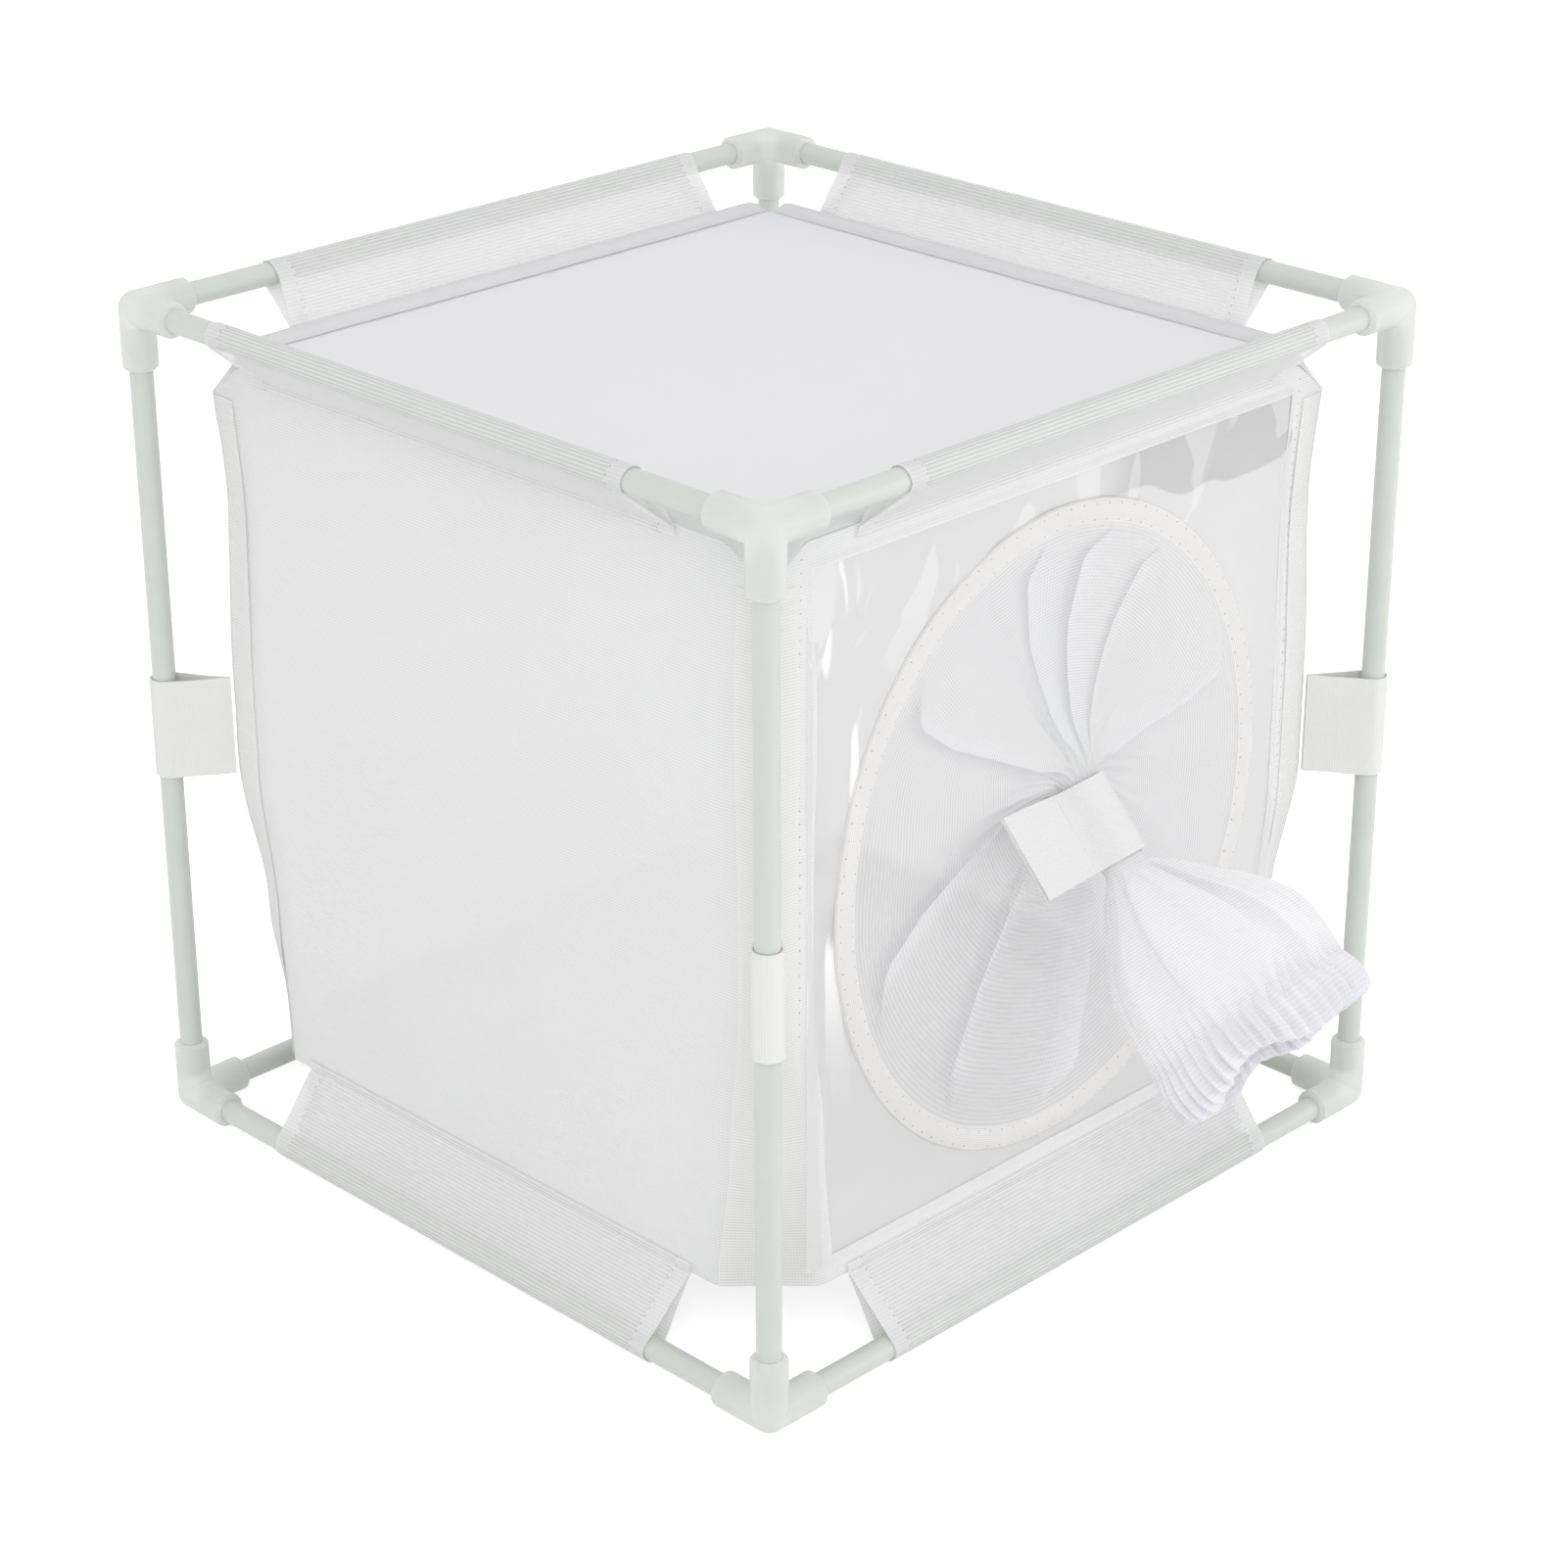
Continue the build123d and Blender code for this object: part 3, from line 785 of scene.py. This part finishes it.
def loop_path(centre, radius, tip, lap, gap):
    """Outline of cloth folded round a tube: from its tip, round and back, then along the lap."""
    along = math.atan2(tip[1] - centre[1], tip[0] - centre[0])
    length = math.hypot(tip[0] - centre[0], tip[1] - centre[1])
    lean = math.acos(min(1.0, (radius - gap) / length))
    sweep = 2 * math.pi - 2 * lean
    side = (-math.sin(along) * gap, math.cos(along) * gap)
    start = (tip[0] + side[0], tip[1] + side[1])
    end = (tip[0] - side[0], tip[1] - side[1])

    def on_tube(angle):
        return centre[0] + radius * math.cos(angle), centre[1] + radius * math.sin(angle)

    def between(a, b, t):
        return a[0] + (b[0] - a[0]) * t, a[1] + (b[1] - a[1]) * t

    path = [between(start, on_tube(along + lean), k / 9) for k in range(9)]
    path += [on_tube(along + lean + sweep * k / 18) for k in range(19)]
    path += [between(on_tube(along - lean), end, k / 9) for k in range(1, 10)]
    path += [between(tip, lap, k / 2) for k in range(1, 3)]
    return path


def lengths(path):
    """Way along a path to each of its points."""
    total = [0.0]
    for a, b in zip(path, path[1:]):
        total.append(total[-1] + math.hypot(a[0] - b[0], a[1] - b[1]))
    return total


def pockets():
    """Ribbed mesh folded round the level tubes, with a hem at each end."""
    tip_off, lap_off, tube_gap, layer_gap = 0.8, 0.5, 0.6, 0.35
    for level, tube_z, seam_z, lap_z, length, shift in (
        ("top", top_axis, top_seam, top_seam - lap_height, 208.0, 6.5),
        ("bottom", base_axis, bottom_seam, bottom_seam + lap_height, 200.0, 0.0),
    ):
        for name, turn in sides.items():
            tip = (-face - tip_off, seam_z)
            lap = (-face - lap_off, lap_z)
            path = loop_path((-half_side, tube_z), tube_radius + tube_gap, tip, lap, layer_gap)
            along = lengths(path)
            offset = shift if turn < 180 else -shift
            half = length / 2

            def point(u, k):
                y, z = path[int(k)]
                near = abs(z - tube_z) / abs(seam_z - tube_z)
                x = offset + u * (half + pocket_flare * near)
                slack = pocket_slack * math.sin(math.pi * min(1.0, near))
                slack *= ripple(x, along[int(k)], 14.0, turn + tube_z)
                return turned(Vector((x, y - slack, z)), turn), (u * pocket_half, along[int(k)])

            piece = surface(f"pocket_cloth_{level}_{name}", point, steps(-1, 1, 110),
                            list(range(len(path))), mesh_ribbed)
            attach(piece, "root")
            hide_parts(f"pocket_{level}_{name}")


def straps():
    """Webbing loops from the upright seams round the upright tubes."""
    seam_off, lap_step, tube_gap, layer_gap, slack = 1.6, 0.5, 0.75, 0.6, 0.4
    seam = corner_at(strap_bottom + strap_width / 2) + seam_off
    lap = (-seam + lap_step, -seam - lap_step)
    for name, turn in corner_turns.items():
        path = loop_path((-half_side, -half_side), tube_radius + tube_gap, (-seam, -seam), lap,
                         layer_gap)
        along = lengths(path)

        def point(k, v):
            x, y = path[int(k)]
            z = strap_bottom + strap_width * v + slack * ripple(along[int(k)], v * 40, 15.0, turn)
            return turned(Vector((x, y, z)), turn), (v * strap_width, along[int(k)])

        piece = surface(f"side_webbing_{name}", point, list(range(len(path))), steps(0, 1, 24), webbing)
        thicken(piece, webbing_thickness)
        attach(piece, "root")
        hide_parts(f"side_strap_{name}")


# Sleeve

# Each fold: angle in degrees, height, width and how far its crest leans over to growing angles
folds = [
    (91, 3.0, 4.5, 4.4), (73, 3.4, 4.0, 4.4), (56, 2.2, 4.5, 4.4), (30, 3.0, 6.0, -4.0),
    (106, 2.0, 5.0, 0.5), (129, 4.0, 7.0, 3.3), (172, 3.0, 14.0, 0.3), (212, 4.2, 7.0, -4.4),
    (228, 2.0, 9.0, 0.0), (244, 3.4, 6.0, -3.8), (253, 6.0, 18.0, 0.0), (263, 3.6, 6.0, 4.4),
    (330, 3.0, 11.0, 0.8),
]
# Radius at which a fold has its own width, and how much wider it gets at most further out
fold_radius = 60.0
fold_widest = 1.3


def fold_height(angle, radius, t):
    """Height and sideways push of the folds at a place on the pleated part."""
    height = 0.0
    aside = 0.0
    scale = min(fold_widest, radius / fold_radius)
    rise = smooth(t, 0.0, 0.13) * (1 - smooth(t, 0.68, 0.96))
    for degrees, tall, wide, lean in folds:
        gap = angle_between(angle, degrees)
        lift = tall * rise * math.exp(-((gap * radius / (wide * scale)) ** 2))
        height += lift
        aside += lean * lift * scale
    return height, aside


def tie_sides():
    """The two directions across the tie: towards its flag's root and out of the flag's face."""
    e1 = Vector((1, 0, 0))
    e1 = (e1 - tie_axis * e1.dot(tie_axis)).normalized()
    return e1, tie_axis.cross(e1)


def sleeve_pleats():
    """Mesh gathered in radiating folds from the port to the neck."""
    e1, e2 = tie_sides()
    end_wide, end_high = tie_half_wide - 1.6, tie_half_high - 1.4
    under_tape, ring_off, middle_off = 2.5, 1.0, 3.5
    into_tie, least_lead, upper_lead = 2.0, 5.0, 14.0
    gather_count, bunch_count = 34, 9
    bunch_start, bunch_length = -3.0, 32.0
    cloth_round, cloth_long = 106.0, 112.0

    def point(angle, t):
        out = Vector((math.cos(angle), 0, math.sin(angle)))
        ring = ring_radius(angle) - tape_width + under_tape
        start = port_centre + out * ring + Vector((0, -film_depth - ring_off, 0))
        upper = 0.5 + 0.5 * math.sin(angle)
        end = neck + e1 * end_wide * math.cos(angle) + e2 * end_high * math.sin(angle)
        end += tie_axis * into_tie
        before = end - tie_axis * (least_lead + upper_lead * upper) + out * 3.0
        mid = start + (neck - start) * 0.45
        mid.y = -film_depth - middle_off
        spot = bezier(start, mid, before, end, t)
        radius = ring + (end_wide - ring) * t
        height, aside = fold_height(angle, radius, t)
        tangent = Vector((-math.sin(angle), 0, math.cos(angle)))
        spot = spot + Vector((0, -1, 0)) * height + tangent * aside
        fine = smooth(t, 0.3, 0.7) * (1 - 0.6 * smooth(t, 0.85, 1.0))
        fine *= math.sin(angle * gather_count + 3.0 * ripple(angle * 20, t * 6, 4.0, 1.0))
        spot += out * fine * 0.4 + Vector((0, -1, 0)) * fine * 0.5
        return spot, (angle * cloth_round, t * cloth_long)

    piece = surface("sleeve_pleats_mesh", point, round_steps(540), steps(0, 1, 60), mesh_sleeve,
                    closed=True)
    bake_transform(piece)
    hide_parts("sleeve_pleats")

    def bunch(angle, t):
        pleat = 0.8 * math.sin(angle * bunch_count) * smooth(t, 0.0, 0.3)
        x = (end_wide - 0.8 + pleat) * math.cos(angle)
        y = (end_high - 0.8 + pleat) * math.sin(angle)
        spot = neck + e1 * x + e2 * y + tie_axis * (bunch_start + bunch_length * t)
        return spot, (angle * 8.0, t * bunch_length)

    piece = surface("sleeve_neck_mesh", bunch, round_steps(108), steps(0, 1, 16), mesh_cuff,
                    closed=True)
    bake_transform(piece)
    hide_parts("neck_bunch")


def bend_line(a, b, c, d, count):
    """Points of a smooth bend across the tie."""
    return [tuple(bezier(a[k], b[k], c[k], d[k], t) for k in (0, 1)) for t in steps(0, 1, count)]


def tie():
    """Webbing pulled round the neck, its end pressed on the flag that sticks out."""
    e1, e2 = tie_sides()
    # Heights of the flag's two layers, and angles of the loop at which the band leaves and rejoins it
    low, high = -0.1, 0.9
    leave, arrive = math.radians(235), math.radians(472)

    def loop(angle):
        return tie_half_wide * math.cos(angle), tie_half_high * math.sin(angle)

    # The band runs from the flag's tip to its root, round the loop and back to the root
    first, last = loop(leave), loop(arrive)
    under = (-flag_root, low)
    root = (-flag_root, high)
    path = [(-flag_tip + (flag_tip - flag_root) * k / 10, low) for k in range(10)]
    path += bend_line(under, (under[0] + 3.0, low), (first[0] - 3.0, first[1] + 2.0), first, 8)[:-1]
    path += [loop(a) for a in steps(leave, arrive, 40)]
    back = (last[0] - 3.0, last[1] - 1.1)
    path += bend_line(last, back, (root[0] + 4.0, root[1] + 1.4), root, 10)[1:]
    along = lengths(path)

    def at_neck(x, y, v):
        """Place at x and y across the tie and v from 0 to 1 along it, with its flare and tilt."""
        spread = 0.96 + 0.08 * v
        tilt = 2.0 * (1 - v) * smooth(x, -flag_tip, 0.0)
        return neck + e1 * x + e2 * y * spread + tie_axis * (tie_width * v - 1.0 + tilt)

    def band(k, v):
        x, y = path[int(k)]
        y += 0.3 * ripple(along[int(k)], v * 30, 12.0, 3.0)
        return at_neck(x, y, v), (along[int(k)], v * tie_width)

    piece = surface("tie_band_webbing", band, list(range(len(path))), steps(0, 1, 24), tie_webbing)
    thicken(piece, webbing_thickness)
    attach(piece, "tie")
    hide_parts("tie_band")

    overlap = 0.25

    def tail(u, v):
        x = -flag_root + overlap - (flag_tip - flag_root) * u
        y = high - 0.1 * smooth(u, 0.0, 0.7) + 0.2 * u * ripple(u * 20, v * 30, 14.0, 6.0)
        return at_neck(x, y, v), (u * (flag_tip - flag_root), v * tie_width)

    piece = surface("tie_tail_webbing", tail, steps(0, 1, 16), steps(0, 1, 20), tie_webbing)
    thicken(piece, tail_thickness)
    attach(piece, "tail")
    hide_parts("tie_tail")


def cuff_frame(t):
    """Middle, axis and cross directions of the cuff at t along it."""
    pull = (cuff_end - bend).length
    middle = bezier(bend, bend + tie_axis * pull * 0.3, cuff_end - cuff_axis * pull * 0.3, cuff_end, t)
    axis = (tie_axis * (1 - t) + cuff_axis * t).normalized()
    across = (cuff_across - axis * cuff_across.dot(axis)).normalized()
    return middle, axis, across, axis.cross(across)


# Places along the cuff with its half width, half height and sideways set, in millimetres
cuff_widths = [
    (0.0, 6.2), (0.05, 7.0), (0.15, 12.5), (0.3, 21.0), (0.45, 30.0), (0.6, 35.5), (0.8, 38.0),
    (1.0, cuff_half_width),
]
cuff_heights = [
    (0.0, 6.0), (0.05, 6.4), (0.15, 9.5), (0.35, 15.5), (0.65, 20.5), (1.0, cuff_half_height),
]
cuff_sets = [(0.0, 0.0), (0.3, 3.2), (0.6, 3.6), (1.0, 0.0)]
# Each fold of the cuff: angle in degrees, height, width in degrees and lean
cuff_folds = [
    (40, 4.0, 8, 1.6), (70, 2.5, 7, -1.2), (104, 3.5, 8, 1.4), (146, 3.0, 9, -1.2),
    (200, 3.0, 12, 0.8), (250, 3.0, 12, -0.8), (300, 3.0, 12, 0.8), (345, 2.5, 10, 0.6),
]
# Half width of the cuff from which its folds have their full height
full_fold_width = 24.0
# Dips in the frill's edge: angle in radians, width in radians and depth
lips = ((1.75, 0.28, -5.5), (2.5, 0.4, 2.0), (1.05, 0.35, 1.5), (4.55, 0.22, -4.5), (4.1, 0.3, 2.0))


def cuff():
    """Flared end of the sleeve, with folds that fade from the tie to the mouth."""
    e1, e2 = tie_sides()
    twist = math.atan2(cuff_across.dot(e2), cuff_across.dot(e1))
    cloth_round, cloth_long = 34.0, 92.0
    wrinkle_count = 19

    def point(angle, t):
        middle, axis, across, up = cuff_frame(t)
        wide = curve(t, cuff_widths)
        high = curve(t, cuff_heights)
        fade_out = smooth(t, 0.02, 0.2) * (1 - 0.8 * smooth(t, 0.55, 1.0))
        lift = 0.0
        aside = 0.0
        for degrees, tall, spread, lean in cuff_folds:
            gap = angle_between(angle, degrees)
            rise = tall * fade_out * math.exp(-((gap / math.radians(spread)) ** 2))
            rise *= min(1.0, wide / full_fold_width)
            lift += rise
            aside += lean * rise
        wrinkle = math.sin(wrinkle_count * angle + 2.0 * ripple(angle * 30, t * 20, 22.0, 5.0))
        lift += 0.5 * wrinkle * fade_out
        lift += 1.2 * ripple(angle * 30, t * 60, 26.0, 7.0) * smooth(t, 0.1, 0.5)
        lift += 1.3 * math.sin(ruffle_count * angle) * smooth(t, 0.7, 0.95)
        x = (wide + lift) * math.cos(angle) - aside * math.sin(angle) + curve(t, cuff_sets)
        y = (high + lift) * math.sin(angle) + aside * math.cos(angle)
        mouth_wide = (tie_half_wide - 1.2) * math.cos(angle + twist)
        mouth_high = (tie_half_high - 1.0) * math.sin(angle + twist)
        held = e1 * mouth_wide + e2 * mouth_high
        spot = middle + held.lerp(across * x + up * y, smooth(t, 0.0, 0.13))
        return spot, (angle * cloth_round, t * cloth_long)

    piece = surface("sleeve_cuff_mesh", point, round_steps(368), steps(0, 1, 56), mesh_cuff,
                    closed=True)
    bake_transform(piece)
    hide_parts("sleeve_cuff")

    # Places across the frill with the way along the cuff and outwards, in millimetres
    frill_along = [
        (0.0, -8.0), (0.35, 1.0), (0.7, frill_length - 2.0), (0.8, frill_length - 0.8),
        (0.9, frill_length - 2.5), (1.0, frill_length - 6.0),
    ]
    frill_out = [(0.0, 0.9), (0.35, 2.6), (0.6, 2.2), (0.75, 0.6), (0.85, -2.2), (1.0, -5.0)]
    fine_count = 83

    def frill(angle, t):
        middle, axis, across, up = cuff_frame(1.0)
        grow = smooth(t, 0.0, 0.6)
        depth = curve(t, frill_along)
        out = curve(t, frill_out)
        bunched = angle + 0.02 * math.sin(3 * angle)
        turns = ruffle_count * bunched
        crease = math.sin(turns + 0.35 * math.sin(turns) + 0.8 * t)
        ruffle = (0.7 + 1.2 * grow) * crease
        ruffle += 0.8 * grow * math.sin(fine_count * angle + 2.0 * t)
        ruffle += 1.3 * grow * ripple(angle * 30, t * 5, 7.0, 2.0)
        fall = 2.0 * ripple(angle * 30, 3.0, 9.0, 2.0)
        fall += sum(deep * math.exp(-(((angle - at) / spread) ** 2)) for at, spread, deep in lips)
        x = (cuff_half_width + out + ruffle) * math.cos(angle)
        y = (cuff_half_height + out + ruffle) * math.sin(angle)
        return middle + across * x + up * y + axis * (depth + grow * fall), (angle * 60.0, t * 24.0)

    piece = surface("elastic_frill_ruffle", frill, round_steps(736), steps(0, 1, 28), mesh_frill,
                    closed=True)
    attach(piece, "cuff")
    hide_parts("elastic_frill")


# Studio


def seen_rays(tree):
    """1 for what is seen straight, mirrored or through glass, and 0 for the light on the object."""
    path = tree.nodes.new("ShaderNodeLightPath")
    seen = math_node(tree, "MAXIMUM", path.outputs["Is Camera Ray"], path.outputs["Is Glossy Ray"])
    return math_node(tree, "MAXIMUM", seen, path.outputs["Is Transmission Ray"])


def studio():
    """Pale floor, even white surroundings, soft lamps and the camera."""
    sky_light = 0.88
    ground_glow = 0.55
    world = bpy.data.worlds.new("studio")
    bpy.context.scene.world = world
    world.use_nodes = True
    tree = world.node_tree
    background = tree.nodes["Background"]
    strength = math_node(tree, "MULTIPLY", seen_rays(tree), 1 - sky_light)
    strength = math_node(tree, "ADD", strength, sky_light)
    background.inputs["Color"].default_value = (1.0, 1.0, 1.0, 1.0)
    tree.links.new(strength, background.inputs["Strength"])

    bpy.ops.mesh.primitive_plane_add(size=12.0, location=(0, 0, -0.0004))
    ground = bpy.context.object
    ground.name = "ground"
    material, tree, shader, output = new_material("ground")
    shader.inputs["Base Color"].default_value = (0.92, 0.92, 0.92, 1.0)
    shader.inputs["Roughness"].default_value = 0.9
    glow = tree.nodes.new("ShaderNodeEmission")
    strength = math_node(tree, "MULTIPLY", seen_rays(tree), ground_glow)
    tree.links.new(strength, glow.inputs["Strength"])
    both = tree.nodes.new("ShaderNodeAddShader")
    tree.links.new(shader.outputs[0], both.inputs[0])
    tree.links.new(glow.outputs[0], both.inputs[1])
    tree.links.new(both.outputs[0], output.inputs["Surface"])
    ground.data.materials.append(material)

    target = place((0, 0, 150))
    for name, offset, power, size in (
        ("key", (-1.4, -1.4, 1.8), 12.6, 1.4),
        ("fill", (1.2, -1.6, 0.1), 10.0, 1.4),
        ("low", (-1.5, 0.5, -0.05), 0.8, 0.7),
    ):
        lamp = bpy.data.lights.new(name, "AREA")
        lamp.energy = power
        lamp.size = size
        holder = bpy.data.objects.new(name, lamp)
        holder.location = target + Vector(offset)
        holder.rotation_euler = (-Vector(offset)).to_track_quat("-Z", "Y").to_euler()
        bpy.context.scene.collection.objects.link(holder)

    # The camera was fitted to the corners of the frame in the photo
    camera = bpy.data.cameras.new("camera")
    camera.sensor_fit = "HORIZONTAL"
    camera.sensor_width = 36.0
    camera.lens = 87.21
    camera.clip_start = 0.01
    holder = bpy.data.objects.new("camera", camera)
    forward = Vector((0.6449, 0.6435, -0.4123))
    upward = Vector((0.2932, 0.2898, 0.9111))
    right = forward.cross(upward).normalized()
    upward = right.cross(forward).normalized()
    turn = Matrix((right, upward, -forward.normalized())).transposed()
    holder.matrix_world = Matrix.Translation(place((-901.8, -907.6, 713.9))) @ turn.to_4x4()
    bpy.context.scene.collection.objects.link(holder)
    bpy.context.scene.camera = holder
    bpy.context.scene.view_settings.view_transform = "Standard"


studio()
dress_frame()
side_sheets()
roof_and_floor()
welts()
bindings()
window()
pockets()
straps()
sleeve_pleats()
tie()
cuff()
